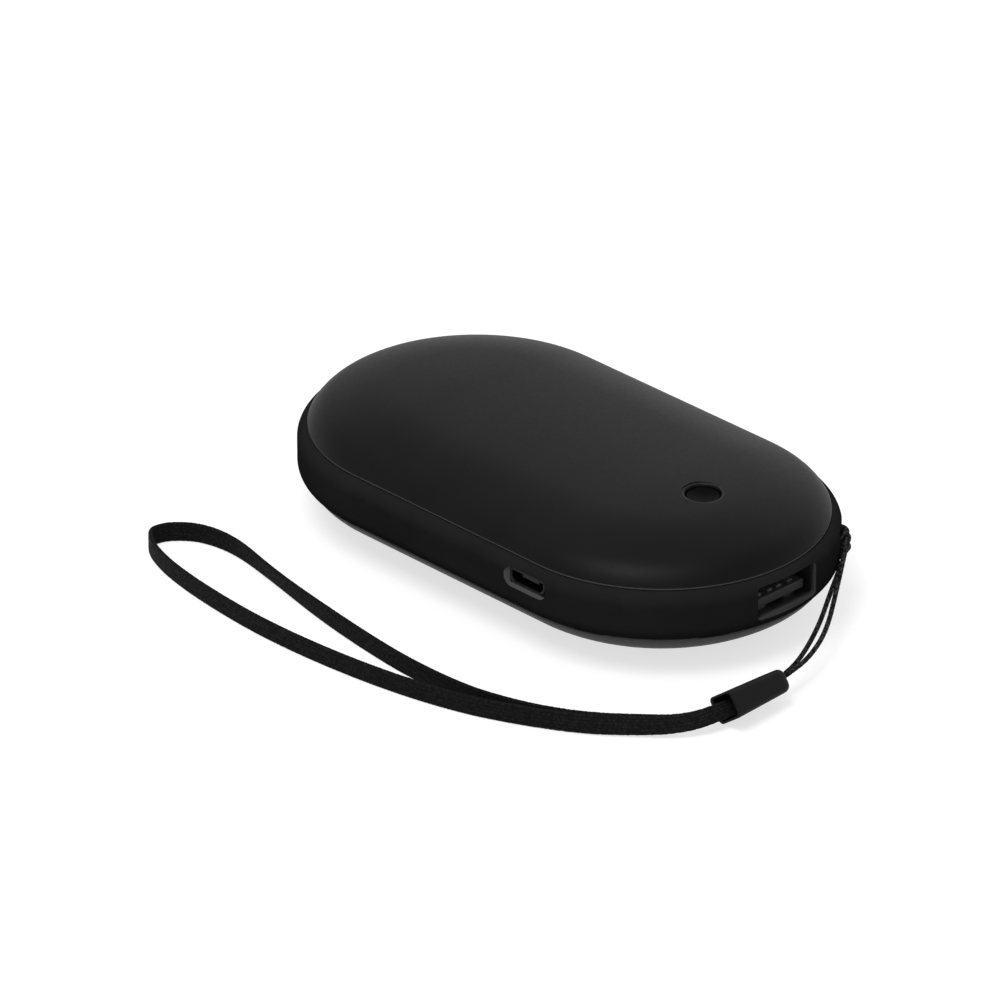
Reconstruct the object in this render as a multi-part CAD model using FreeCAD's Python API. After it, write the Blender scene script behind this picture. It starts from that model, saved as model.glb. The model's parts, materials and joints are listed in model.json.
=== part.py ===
import FreeCAD, Part
import math
import os

from FreeCAD import Vector

# Rechargeable hand warmer: a pebble-shaped heated case with a wrist strap. Millimetres.
# Origin at the bottom centre of the case, +X along the case towards the push button and the
# output socket, +Y to the back, +Z up.

# Case and covers
case_length = 100.0
case_width = 58.0
case_height = 22.5
cover_wall = 1.2
crown_radius = 150.0
crown_half_width = 13.0
base_half_width = 11.5
rim_fullness = 1.0
top_rim_slope = 62.0
base_rim_slope = 58.0
cover_edge_radius = 0.35
cut_margin = 1.0

# Middle frame and its cross ribs
band_height = 8.6
band_shoulder_radius = 2.6
band_shoulder_turn = 70.0
frame_wall = 2.8
rib_thickness = 1.2
rib_below_middle = 4.0
rib_above_middle = 2.2

# Clips that hold the covers in the frame
clip_width = 5.0
clip_depth = 1.8
clip_thickness = 0.8
clip_clearance = 0.1
clip_bead_reach = 0.25
clip_bead_width = 0.5
clip_bead_drop = 1.0
clip_side_places = (-15.0, 3.0)
clip_side_gap = 0.2
clip_rear_angle = 150.0

# Push button
button_from_end = 19.5
button_hole_radius = 2.85
button_lip_radius = 0.55
button_clearance = 0.25
button_recess = 0.5
button_dish_depth = 0.5
button_flange_radius = 4.0
button_flange_thickness = 0.8
button_flange_gap = 0.15
button_stem_radius = 1.6
button_stem_length = 1.8
button_travel = 0.5
button_stem_gap = 0.1

# Circuit board and its screws
board_margin = 2.25
board_thickness = 1.2
board_gap = 0.4
lug_reach = 4.0
lug_width = 5.0
lug_socket_gap = 1.0
lug_side_angle = 90.0
screw_head_radius = 1.5
screw_head_height = 1.0
screw_shank_radius = 0.8
screw_length = 3.6
screw_clearance = 0.1
screw_slot_width = 0.4
screw_slot_depth = 0.5

# Push switch under the button
switch_side = 6.2
switch_body_height = 3.5
switch_plate_thickness = 0.3
plunger_radius = 1.75
plunger_clearance = 0.08
plunger_seat_depth = 2.0
plunger_bottom_gap = 0.2

# Output socket, USB type A
usb_a_height = 0.4
usb_a_recess = 1.7
usb_a_window_gap = 0.1
usb_a_flare = 0.2
usb_a_flare_from_end = 1.1
usb_a_mouth_width = 12.5
usb_a_mouth_height = 5.12
usb_a_shell_wall = 0.3
usb_a_depth = 13.4
usb_a_clearance = 0.1
usb_a_corner_radius = 0.5
usb_a_tongue_width = 11.1
usb_a_tongue_thickness = 1.5
usb_a_tongue_lift = 0.6
usb_a_tongue_recess = 1.0
usb_a_base_depth = 4.2
usb_a_contact_places = (-3.5, -1.0, 1.0, 3.5)
usb_a_contact_width = 1.0
usb_a_contact_length = 7.0
usb_a_contact_thickness = 0.25
usb_a_wing_reach = 1.4
usb_a_wing_length = 3.0
usb_a_wing_from_front = 9.0
usb_a_leaf_places = (-3.0, 3.0)
usb_a_leaf_width = 1.8
usb_a_leaf_window_width = 2.4
usb_a_leaf_front = 1.8
usb_a_leaf_rear = 7.2
usb_a_leaf_dip = 0.55
usb_a_leaf_thickness = 0.25

# Charging socket, micro USB type B
micro_from_end = 30.2
micro_height = 1.4
micro_pocket_width = 9.3
micro_pocket_height = 3.4
micro_pocket_corner_radius = 1.6
micro_pocket_depth = 0.75
micro_seat_gap = 0.2
micro_seat_corner_radius = 0.3
micro_mouth_width = 6.9
micro_mouth_height = 1.85
micro_mouth_chamfer = 0.7
micro_shell_wall = 0.3
micro_depth = 6.3
micro_clearance = 0.1
micro_base_depth = 1.6
micro_tongue_width = 3.7
micro_tongue_thickness = 0.6
micro_tongue_recess = 0.7
micro_tongue_lift = 0.85
micro_contact_count = 5
micro_contact_pitch = 0.65
micro_contact_width = 0.35
micro_contact_thickness = 0.12

# Battery pouch and its protection board
battery_side_gap = 6.2
battery_cover_gap = 5.25
battery_gap = 0.4
battery_corner_radius = 2.0
terrace_length = 4.0
terrace_thickness = 0.6
terrace_side_gap = 3.0
battery_tab_places = (-8.0, 8.0)
battery_tab_width = 3.0
battery_tab_length = 3.4
battery_tab_thickness = 0.2
protection_board_width = 28.0
protection_board_length = 3.2
protection_board_thickness = 0.8

# Heating films, insulation and thermistor
film_thickness = 0.25
film_gap = 0.05
film_side_gap = 9.2
film_inset = 4.0
upper_film_gap_to_button = 4.5
lower_film_from_end = 20.0
insulation_gap = 0.1
insulation_side_gap = 1.5
thermistor_radius = 1.0
thermistor_gap = 0.1
thermistor_length = 3.0
thermistor_from_board = 2.2
thermistor_y = -11.0

# Leads inside the case; each bend uses this share of the shorter run beside it
bend_share = 0.45
lead_diameter = 1.0
lead_end_run = 2.0
lead_offset = 1.2
lead_over_rib = 1.3
battery_lead_places = (-4.0, 4.0)
battery_lead_inset = 2.8
upper_lead_inset = 2.0
upper_lead_places = (1.8, 4.2)
lower_lead_inset = 6.0
lower_lead_places = (-4.4, -2.0)
thermistor_lead_diameter = 0.5
thermistor_lead_pitch = 0.9

# Parts on the circuit board: distance from its rear edge, centre y, length, width, height
inductor_size = (6.2, 12.0, 7.0, 7.0, 4.0)
inductor_corner = 1.2
chip_sizes = ((6.2, -6.8, 5.0, 4.0, 1.5), (12.2, -13.0, 4.0, 4.0, 1.0), (21.2, -13.0, 4.0, 4.0, 0.9))
capacitor_places = ((12.7, 11.0), (12.7, 14.0), (19.2, 12.0), (19.2, 15.0), (17.2, -14.0))
capacitor_size = (2.0, 1.25, 1.25)
lamp_side_gap = 1.5
lamp_size = (1.6, 0.8, 0.7)

# Lanyard notch and post
lanyard_angle = 42.0
lanyard_inset = 0.9
lanyard_post_radius = 0.8
lanyard_pocket_radius = 3.5
lanyard_pocket_height = 5.6
lanyard_wall = 1.0
lanyard_clearance = 0.4

# Strap knot: two wraps round the post and the bight across them
knot_wrap_radius = 1.8
knot_cord_radius = 0.7
knot_wrap_spacing = 2.3
knot_bight_radius = 0.5
knot_bight_reach = 2.7
knot_bight_angle = -10.0

# Strap cords, from the knot to the ferrule. All of the strap's places are x and y from the
# lanyard post, and heights from the floor; only the cords' starts are from the middle of the post
cord_diameter = 0.8
inner_cord_start = (3.5, -1.95, -1.4)
outer_cord_start = (3.15, -1.15, -0.15)
inner_cord_points = (
    (7.06, -8.52, 7.7), (11.45, -15.85, 5.7), (15.17, -23.9, 4.4),
    (15.89, -28.7, 3.55), (16.26, -31.6, 3.27),
)
outer_cord_points = (
    (8.73, -8.88, 9.0), (14.35, -17.07, 6.5), (16.38, -23.18, 4.9),
    (16.69, -27.6, 4.25), (17.14, -31.6, 3.92),
)

# Strap ferrule, lying on the floor with its mouth towards -Y, rolled over like the webbing in it
strap_lean = 36.5
ferrule_from_post = 16.7
ferrule_mouth_from_post = -42.0
ferrule_length = 12.2
ferrule_width = 5.7
ferrule_thickness = 4.6
ferrule_tip_width = 4.7
ferrule_tip_thickness = 3.9
ferrule_nose = 1.5
ferrule_nose_inset = 0.8
ferrule_nose_steps = 5
ferrule_corner_radius = 0.9
ferrule_side_wall = 0.6
ferrule_edge_wall = 0.33
ferrule_mouth_depth = 5.5
ferrule_mouth_corner_radius = 0.6
ferrule_hole_width = 2.4
ferrule_hole_height = 1.4
ferrule_floor_gap = 0.05

# Wrist webbing, standing on its edge: the route of its lower edge, out of the ferrule and back
webbing_width = 3.5
webbing_thickness = 0.7
webbing_sections = 170
webbing_lean_end = 6.0
webbing_upright_from = 46.0
webbing_points = (
    (17.54, -36.9, 1.83), (17.54, -43.6, 1.83), (14.8, -49.2, 0.8), (9.7, -53.8, 0.2),
    (2.9, -59.4, 0.0), (-5.7, -64.2, 0.0), (-15.1, -68.2, 0.0), (-26.9, -71.2, 0.0),
    (-41.0, -73.1, 0.0), (-55.2, -73.7, 0.0), (-68.3, -72.8, 0.0), (-78.8, -71.2, 0.0),
    (-85.9, -68.9, 0.0), (-89.5, -66.4, 0.0), (-89.6, -64.0, 0.0), (-88.0, -61.3, 0.0),
    (-84.3, -58.8, 0.0), (-77.5, -58.0, 0.0), (-66.6, -60.1, 0.0), (-53.4, -63.1, 0.0),
    (-40.8, -65.0, 0.0), (-28.9, -66.1, 0.0), (-16.4, -65.7, 0.0), (-5.8, -63.0, 0.0),
    (2.6, -58.6, 0.0), (9.1, -53.0, 0.1), (13.9, -48.8, 0.4), (16.86, -43.4, 1.33),
    (16.86, -36.9, 1.33),
)

# Places and sizes that follow from the values above
end_radius = case_width / 2
half_straight = case_length / 2 - end_radius
middle = case_height / 2
seam = middle + band_height / 2
rim_radius = rim_fullness * (case_height - band_height) / 2
frame_inner = end_radius - frame_wall
seam_radius = end_radius - band_shoulder_radius * (1 - math.cos(math.radians(band_shoulder_turn)))
front_face = case_length / 2
front_centre = Vector(half_straight, 0, 0)
button_x = front_face - button_from_end
micro_x = front_face - micro_from_end
micro_shell_width = micro_mouth_width + 2 * micro_shell_wall
micro_shell_height = micro_mouth_height + 2 * micro_shell_wall
board_top = middle + micro_height - micro_shell_height / 2
board_bottom = board_top - board_thickness
board_rear = micro_x - micro_shell_width / 2 - board_margin
front_rib_face = board_rear - board_gap - rib_thickness
battery_front = front_rib_face - battery_gap
battery_width = 2 * (frame_inner - battery_side_gap)
battery_thickness = case_height - 2 * battery_cover_gap
battery_reach = math.sqrt(frame_inner ** 2 - (battery_width / 2 + battery_gap) ** 2)
battery_rear = -half_straight - battery_reach
battery_top = middle + battery_thickness / 2
cell_front = battery_front - terrace_length
film_inset_depth = cover_wall + film_gap
film_face = film_inset_depth + film_thickness
film_half_width = frame_inner - film_side_gap
upper_film_front = button_x - button_flange_radius - upper_film_gap_to_button
lower_film_front = front_face - lower_film_from_end
lanyard_radius = end_radius - lanyard_inset
lanyard_housing_radius = lanyard_pocket_radius + lanyard_wall
usb_a_front = front_face - usb_a_recess
usb_a_centre = middle + usb_a_height
usb_a_outer_width = usb_a_mouth_width + 2 * usb_a_shell_wall
usb_a_outer_height = usb_a_mouth_height + 2 * usb_a_shell_wall
micro_front = -end_radius + micro_pocket_depth
screw_radius = frame_inner - lug_reach
# Round the front end, the clips stand clear of the lanyard housing, and the lugs clear of the
# clips and of the output socket
clip_front_turn = (lanyard_housing_radius + clip_side_gap + clip_width / 2) / frame_inner
clip_front_angle = lanyard_angle + math.degrees(clip_front_turn)
lug_clip_turn = (clip_width / 2 + clip_side_gap + lug_width / 2) / frame_inner
lug_socket_reach = usb_a_outer_width / 2 + lug_socket_gap + lug_width / 2
lug_socket_angle = math.degrees(math.asin(lug_socket_reach / screw_radius))
lug_angles = (
    lug_side_angle, lug_socket_angle, -lug_socket_angle, -clip_front_angle - math.degrees(lug_clip_turn),
)


def ring_of(angle, radius, z=0.0):
    """Point at an angle and radius about the centre of the rounded front end."""
    turn = math.radians(angle)
    return front_centre + Vector(radius * math.cos(turn), radius * math.sin(turn), z)


lanyard_place = ring_of(lanyard_angle, lanyard_radius)


def block(x_span, y_span, z_span):
    """Box between two limits on each axis."""
    size = [span[1] - span[0] for span in (x_span, y_span, z_span)]
    return Part.makeBox(*size, Vector(x_span[0], y_span[0], z_span[0]))


def centred_block(x, y, length, width, z_span):
    """Box centred on x and y."""
    return block((x - length / 2, x + length / 2), (y - width / 2, y + width / 2), z_span)


def pillar(radius, place, z_span):
    """Upright cylinder at a place, between two heights."""
    return Part.makeCylinder(radius, z_span[1] - z_span[0], Vector(place.x, place.y, z_span[0]))


def flip(shape):
    """Mirror a shape in the middle plane of the case."""
    return shape.mirror(Vector(0, 0, middle), Vector(0, 0, 1))


def polygon_face(points):
    """Flat face with straight sides."""
    return Part.Face(Part.makePolygon(list(points) + [points[0]]))


def round_case_sweep(face):
    """Carry a section, drawn in the YZ plane, round the plan of the case."""
    front = face.translated(front_centre).revolve(front_centre, Vector(0, 0, 1), -180)
    rear = face.translated(-front_centre).revolve(-front_centre, Vector(0, 0, 1), 180)
    back_side = face.translated(-front_centre).extrude(Vector(2 * half_straight, 0, 0))
    front_side = back_side.mirror(Vector(), Vector(0, 1, 0))
    return front.fuse([rear, back_side, front_side]).removeSplitter()


def case_ring(inner, outer, z_span):
    """Plain ring round the plan of the case, between two radii."""
    low, high = z_span
    corners = [Vector(0, inner, low), Vector(0, outer, low), Vector(0, outer, high), Vector(0, inner, high)]
    return round_case_sweep(polygon_face(corners))


def case_prism(radius, z_span):
    """Upright prism with the rounded plan of the case."""
    return case_ring(0, radius, z_span)


def on_slope(centre, radius, slope):
    """Point of an arc in the YZ plane where the skin falls away by this slope."""
    turn = math.radians(slope)
    return centre + Vector(0, radius * math.sin(turn), radius * math.cos(turn))


def slope_arc(centre, radius, slopes):
    """Arc in the YZ plane between two slopes of the skin."""
    places = (slopes[0], sum(slopes) / 2, slopes[1])
    return Part.Arc(*[on_slope(centre, radius, slope) for slope in places]).toShape()


def dome(inset, crowned):
    """Solid below a cover's skin, set in by inset: a crowned top or a flat base turned up."""
    rim_slope = top_rim_slope if crowned else base_rim_slope
    rim_normal = on_slope(Vector(), 1, rim_slope)
    rim_end = Vector(0, seam_radius, seam) + Vector(
        0, cover_edge_radius * (rim_normal.y - 1), cover_edge_radius * (rim_normal.z + 1))
    if crowned:
        start_slope = math.degrees(math.asin(crown_half_width / crown_radius))
        crown_centre = Vector(0, 0, case_height - crown_radius)
        crown_end = on_slope(crown_centre, crown_radius, start_slope)
        first = slope_arc(crown_centre, crown_radius - inset, (0, start_slope))
    else:
        start_slope = 0
        crown_end = Vector(0, base_half_width, case_height)
        drop = Vector(0, 0, inset)
        first = Part.makeLine(Vector(0, 0, case_height) - drop, crown_end - drop)
    start_normal = on_slope(Vector(), 1, start_slope)
    rim_centre = rim_end - rim_normal * rim_radius
    # The shoulder arc leaves the crown smoothly and touches the rim arc from outside
    reach = crown_end - rim_centre
    shoulder_radius = (reach.dot(reach) - rim_radius ** 2) / (2 * (reach.dot(start_normal) - rim_radius))
    shoulder_centre = crown_end - start_normal * shoulder_radius
    join = rim_centre - shoulder_centre
    join_slope = math.degrees(math.atan2(join.y, join.z))
    edges = [
        first,
        slope_arc(shoulder_centre, shoulder_radius - inset, (start_slope, join_slope)),
        slope_arc(rim_centre, rim_radius - inset, (join_slope, rim_slope)),
    ]
    if inset == 0:
        edge_centre = rim_end - rim_normal * cover_edge_radius
        edges.append(slope_arc(edge_centre, cover_edge_radius, (rim_slope, 180)))
        foot = on_slope(edge_centre, cover_edge_radius, 180)
    else:
        skin_end = rim_end - rim_normal * inset
        foot = Vector(0, skin_end.y, seam - clip_depth)
        edges.append(Part.makeLine(skin_end, foot))
    edges.append(Part.makeLine(foot, Vector(0, 0, foot.z)))
    edges.append(Part.makeLine(Vector(0, 0, foot.z), Vector(0, 0, case_height - inset)))
    return round_case_sweep(Part.Face(Part.Wire(edges)))


def crown_height(radius, inset):
    """Height of the crowned top's skin, set in by inset, at a distance from its middle line."""
    return case_height - crown_radius + math.sqrt((crown_radius - inset) ** 2 - radius ** 2)


def clip_windows():
    """Upright blocks that mark where the clips stand round the case."""
    windows = []
    for x in clip_side_places:
        windows.append(centred_block(x, 0, clip_width, case_width, (0, case_height)))
    for end, angle in ((1, clip_front_angle), (-1, clip_rear_angle)):
        for side in (angle, -angle):
            window = block((0, case_width), (-clip_width / 2, clip_width / 2), (0, case_height))
            window.rotate(Vector(), Vector(0, 0, 1), side)
            windows.append(window.translated(front_centre * end))
    return windows


def bead_span(grow):
    """Heights of the upper clip bead, or of its groove when it grows by the clearance."""
    centre = seam - clip_bead_drop
    return (centre - clip_bead_width / 2 - grow, centre + clip_bead_width / 2 + grow)


def clips(crowned):
    """Clip tabs with their beads, on the upper side of the case."""
    outer = frame_inner - clip_clearance
    tab_ring = case_ring(outer - clip_thickness, outer, (seam - clip_depth, seam + rim_radius))
    tab_ring = tab_ring.common(dome(cover_wall / 2, crowned))
    bead = case_ring(outer - clip_thickness / 2, frame_inner + clip_bead_reach, bead_span(0))
    ring = tab_ring.fuse(bead)
    return [ring.common(window) for window in clip_windows()]


def cover(crowned):
    """Cover shell with its clips, on the upper side of the case."""
    shell = dome(0, crowned).cut(dome(cover_wall, crowned))
    return shell.fuse(clips(crowned)).removeSplitter()


def button_hole():
    """Hole for the push button, with its rounded lip."""
    surface = crown_height(button_x - half_straight, 0)
    hole = pillar(button_hole_radius, Vector(button_x, 0, 0), (seam, case_height + cut_margin))
    lip_top = button_hole_radius + button_lip_radius
    lip_base = surface - button_lip_radius
    corner = Vector(button_hole_radius, 0, lip_base)
    centre = Vector(lip_top, 0, lip_base)
    bow = centre + Vector(-1, 0, 1).normalize() * button_lip_radius
    crest = Vector(lip_top, 0, surface)
    above = Vector(lip_top, 0, case_height + cut_margin)
    inside = Vector(button_hole_radius, 0, case_height + cut_margin)
    edges = [Part.Arc(corner, bow, crest).toShape()]
    for start, end in ((crest, above), (above, inside), (inside, corner)):
        edges.append(Part.makeLine(start, end))
    lip = Part.Face(Part.Wire(edges)).revolve(Vector(), Vector(0, 0, 1), 360)
    return hole.fuse(lip.translated(Vector(button_x, 0, 0)))


def top_cover():
    return cover(True).cut(button_hole())


def bottom_cover():
    return flip(cover(False))


def rounded_section(width, height, corner, y):
    """Rectangle with rounded corners in the XZ plane."""
    box = Part.makePlane(width, height, Vector(-width / 2, y, height / 2), Vector(0, 1, 0), Vector(1, 0, 0))
    slab = box.extrude(Vector(0, 1, 0))
    long_edges = [edge for edge in slab.Edges if edge.tangentAt(edge.FirstParameter).y ** 2 > 0.5]
    slab = slab.makeFillet(corner, long_edges)
    face = min(slab.Faces, key=lambda side: side.CenterOfMass.y)
    return face.OuterWire


def micro_section(grow, y):
    """Outline of the charging socket with its chamfered lower corners, grown by a wall."""
    half_width = micro_mouth_width / 2 + grow
    half_height = micro_mouth_height / 2 + grow
    centre = Vector(micro_x, y, middle + micro_height)
    outline = (
        (-half_width, half_height), (half_width, half_height),
        (half_width, micro_mouth_chamfer - half_height), (half_width - micro_mouth_chamfer, -half_height),
        (micro_mouth_chamfer - half_width, -half_height), (-half_width, micro_mouth_chamfer - half_height),
    )
    return polygon_face([centre + Vector(x, 0, z) for x, z in outline])


def micro_cut():
    """Tapered pocket and window for the charging socket in the side of the frame."""
    seat_width = micro_shell_width + 2 * micro_seat_gap
    seat_height = micro_shell_height + 2 * micro_seat_gap
    mouth = rounded_section(micro_pocket_width, micro_pocket_height, micro_pocket_corner_radius, -end_radius)
    seat = rounded_section(seat_width, seat_height, micro_seat_corner_radius, micro_front)
    outside = Part.Face(mouth).extrude(Vector(0, -cut_margin, 0))
    pocket = Part.makeLoft([mouth, seat], True, True).fuse(outside)
    window = micro_section(micro_shell_wall + micro_clearance, -end_radius)
    return pocket.translated(Vector(micro_x, 0, middle + micro_height)).fuse(
        window.extrude(Vector(0, 2 * frame_wall, 0)))


def usb_a_outline(grow, x):
    """Outline of the output socket's window, grown by a flare, at a distance along the case."""
    spare = 2 * (usb_a_window_gap + grow)
    outline = rounded_section(
        usb_a_mouth_width + spare, usb_a_mouth_height + spare, usb_a_corner_radius + grow, 0)
    outline.rotate(Vector(), Vector(0, 0, 1), 90)
    return outline.translated(Vector(x, 0, usb_a_centre))


def usb_a_cut():
    """Pocket for the output socket in the end of the frame, and its window, flared to the outside."""
    seat = usb_a_front + usb_a_clearance
    flare_base = front_face - usb_a_flare_from_end
    throat = usb_a_outline(0, flare_base)
    mouth = usb_a_outline(usb_a_flare, flare_base + usb_a_flare)
    return Part.makeLoft([throat, mouth], True, True).fuse([
        Part.Face(throat).extrude(Vector(seat - flare_base, 0, 0)),
        Part.Face(mouth).extrude(Vector(frame_wall, 0, 0)),
        usb_a_tube(usb_a_shell_wall + usb_a_clearance, (seat - 2 * frame_wall, seat)),
    ])


def lug(angle):
    """Screw lug below the circuit board, reaching in from the frame wall."""
    arm = block((screw_radius - lug_width / 2, end_radius), (-lug_width / 2, lug_width / 2),
                (middle - band_height / 2, board_bottom))
    arm.rotate(Vector(), Vector(0, 0, 1), angle)
    return arm.translated(front_centre)


def screw_places():
    return [ring_of(angle, screw_radius) for angle in lug_angles]


def cross_rib(x):
    """Wall across the case, in front of or behind the battery."""
    return block((x, x + rib_thickness), (-end_radius, end_radius),
                 (middle - rib_below_middle, middle + rib_above_middle))


def frame_band():
    """The visible band: flat sides, rounded shoulders, plain inner wall."""
    turn = math.radians(band_shoulder_turn)
    half_turn = turn / 2
    flat = band_height / 2 - band_shoulder_radius * math.sin(turn)
    core = end_radius - band_shoulder_radius

    def shoulder(bend, side):
        return Vector(0, core + band_shoulder_radius * math.cos(bend),
                      middle + side * (flat + band_shoulder_radius * math.sin(bend)))

    inner_top = Vector(0, frame_inner, seam)
    inner_base = Vector(0, frame_inner, middle - band_height / 2)
    edges = [
        Part.makeLine(inner_base, inner_top),
        Part.makeLine(inner_top, shoulder(turn, 1)),
        Part.Arc(shoulder(turn, 1), shoulder(half_turn, 1), shoulder(0, 1)).toShape(),
        Part.makeLine(shoulder(0, 1), shoulder(0, -1)),
        Part.Arc(shoulder(0, -1), shoulder(half_turn, -1), shoulder(turn, -1)).toShape(),
        Part.makeLine(shoulder(turn, -1), inner_base),
    ]
    return round_case_sweep(Part.Face(Part.Wire(edges)))


def lanyard_span(wall=0.0):
    """Heights of the lanyard notch, or of its housing when a wall is added."""
    half = lanyard_pocket_height / 2 + wall
    return (middle - half, middle + half)


def middle_frame():
    """Band with its ribs, lugs, lanyard notch and post, and the cuts for the two sockets."""
    inside = case_prism(frame_inner + frame_wall / 2, (middle - band_height / 2, seam))
    housing = pillar(lanyard_housing_radius, lanyard_place, lanyard_span(lanyard_wall))
    fittings = [housing, cross_rib(front_rib_face), cross_rib(battery_rear - battery_gap - rib_thickness)]
    fittings += [lug(angle) for angle in lug_angles]
    frame = frame_band().fuse([fitting.common(inside) for fitting in fittings])
    groove_outer = frame_inner + clip_bead_reach + clip_clearance
    groove = case_ring(frame_inner, groove_outer, bead_span(clip_clearance))
    notch = pillar(lanyard_pocket_radius, lanyard_place, lanyard_span())
    notch = notch.cut(pillar(lanyard_post_radius, lanyard_place, lanyard_span()))
    pilots = [
        pillar(screw_shank_radius + screw_clearance, place, (board_top - screw_length, board_bottom))
        for place in screw_places()
    ]
    return frame.cut([groove, flip(groove), notch, usb_a_cut(), micro_cut()] + pilots).removeSplitter()


def button_flange_top():
    """Top of the flange, just under the inside of the cover at its lowest edge."""
    return crown_height(button_x - half_straight + button_flange_radius, cover_wall) - button_flange_gap


def button_stem_base():
    return button_flange_top() - button_flange_thickness - button_stem_length


def power_button():
    """Dished cap, retaining flange and stem."""
    place = Vector(button_x, 0, 0)
    cap_radius = button_hole_radius - button_clearance
    top = crown_height(button_x - half_straight, 0) - button_recess
    flange_top = button_flange_top()
    flange_base = flange_top - button_flange_thickness
    stem_base = button_stem_base()
    body = pillar(cap_radius, place, (flange_base, top)).fuse([
        pillar(button_flange_radius, place, (flange_base, flange_top)),
        pillar(button_stem_radius, place, (stem_base, flange_base)),
    ])
    dish_radius = (cap_radius ** 2 + button_dish_depth ** 2) / (2 * button_dish_depth)
    dish = Part.makeSphere(dish_radius, Vector(button_x, 0, top + dish_radius - button_dish_depth))
    return body.cut(dish).removeSplitter()


def switch_body():
    body = centred_block(button_x, 0, switch_side, switch_side, (board_top, board_top + switch_body_height))
    bore_base = board_top + switch_body_height - plunger_seat_depth - button_travel - plunger_bottom_gap
    bore = pillar(plunger_radius + plunger_clearance, Vector(button_x, 0, 0), (bore_base, case_height))
    return body.cut(bore)


def switch_plate():
    """Steel plate over the switch body."""
    base = board_top + switch_body_height
    plate = centred_block(button_x, 0, switch_side, switch_side, (base, base + switch_plate_thickness))
    return plate.cut(pillar(plunger_radius + plunger_clearance, Vector(button_x, 0, 0), (0, case_height)))


def switch_plunger():
    low = board_top + switch_body_height - plunger_seat_depth
    return pillar(plunger_radius, Vector(button_x, 0, 0), (low, button_stem_base() - button_stem_gap))


def indicator_lamps():
    """Two lamps beside the switch."""
    length, width, height = lamp_size
    offset = switch_side / 2 + lamp_side_gap
    span = (board_top, board_top + height)
    return [centred_block(button_x, y, length, width, span) for y in (-offset, offset)]


def circuit_board():
    span = (board_bottom, board_top)
    board = case_prism(frame_inner - board_gap, span).common(
        block((board_rear, front_face), (-end_radius, end_radius), span))
    half_width = usb_a_outer_width / 2 + usb_a_clearance
    notch = block((usb_a_front - usb_a_depth - board_gap, front_face), (-half_width, half_width), span)
    corner = pillar(lanyard_housing_radius + lanyard_clearance, lanyard_place, span)
    holes = [pillar(screw_shank_radius + screw_clearance, place, span) for place in screw_places()]
    return board.cut([notch, corner] + holes)


def board_screws():
    screws = []
    for place in screw_places():
        head = pillar(screw_head_radius, place, (board_top, board_top + screw_head_height))
        shank = pillar(screw_shank_radius, place, (board_top - screw_length, board_top))
        slot_span = (board_top + screw_head_height - screw_slot_depth, board_top + screw_head_height)
        slots = [
            centred_block(place.x, place.y, 2 * screw_head_radius, screw_slot_width, slot_span),
            centred_block(place.x, place.y, screw_slot_width, 2 * screw_head_radius, slot_span),
        ]
        screws.append(head.fuse(shank).cut(slots).removeSplitter())
    return screws


def usb_a_tube(grow, x_span):
    """Box with the section of the output socket's mouth, grown by a wall."""
    half_width = usb_a_mouth_width / 2 + grow
    half_height = usb_a_mouth_height / 2 + grow
    return block(x_span, (-half_width, half_width), (usb_a_centre - half_height, usb_a_centre + half_height))


def usb_a_leaf(y, side):
    """Spring leaf that dips from the shell wall into the mouth, above or below."""
    wall = usb_a_centre + side * usb_a_mouth_height / 2
    rear = usb_a_front - usb_a_leaf_rear
    front = usb_a_front - usb_a_leaf_front
    dip = side * usb_a_leaf_dip
    thick = side * usb_a_leaf_thickness
    crest = front - (front - rear) / 4
    profile = [
        Vector(rear, 0, wall), Vector(crest, 0, wall - dip), Vector(front, 0, wall - dip / 2),
        Vector(front, 0, wall - dip / 2 + thick), Vector(crest, 0, wall - dip + thick),
        Vector(rear, 0, wall + thick),
    ]
    leaf = polygon_face(profile).extrude(Vector(0, usb_a_leaf_width, 0))
    return leaf.translated(Vector(0, y - usb_a_leaf_width / 2, 0))


def usb_a_shell():
    """Steel shell with a closed rear, spring leaves and side wings soldered to the board."""
    rear = usb_a_front - usb_a_depth
    shell = usb_a_tube(usb_a_shell_wall, (rear, usb_a_front))
    shell = shell.cut(usb_a_tube(0, (rear + usb_a_shell_wall, usb_a_front)))
    wing_front = usb_a_front - usb_a_wing_from_front
    half_width = usb_a_outer_width / 2
    wings = block((wing_front - usb_a_wing_length, wing_front),
                  (-half_width - usb_a_wing_reach, half_width + usb_a_wing_reach),
                  (board_top, board_top + usb_a_shell_wall))
    shell = shell.fuse(wings.cut(usb_a_tube(0, (rear, usb_a_front))))
    for y in usb_a_leaf_places:
        span = (usb_a_front - usb_a_leaf_rear, usb_a_front - usb_a_leaf_front + usb_a_clearance)
        reach = usb_a_outer_height
        shell = shell.cut(block(span, (y - usb_a_leaf_window_width / 2, y + usb_a_leaf_window_width / 2),
                                (usb_a_centre - reach, usb_a_centre + reach)))
        shell = shell.fuse([usb_a_leaf(y, 1), usb_a_leaf(y, -1)])
    return shell.removeSplitter()


def usb_a_tongue_span():
    low = usb_a_centre - usb_a_mouth_height / 2 + usb_a_tongue_lift
    return (low, low + usb_a_tongue_thickness)


def usb_a_tongue():
    """Moulded base and tongue inside the shell."""
    rear = usb_a_front - usb_a_depth + usb_a_shell_wall
    base = usb_a_tube(-usb_a_clearance / 2, (rear, rear + usb_a_base_depth))
    tongue = block((rear, usb_a_front - usb_a_tongue_recess),
                   (-usb_a_tongue_width / 2, usb_a_tongue_width / 2), usb_a_tongue_span())
    return base.fuse(tongue).removeSplitter()


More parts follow.
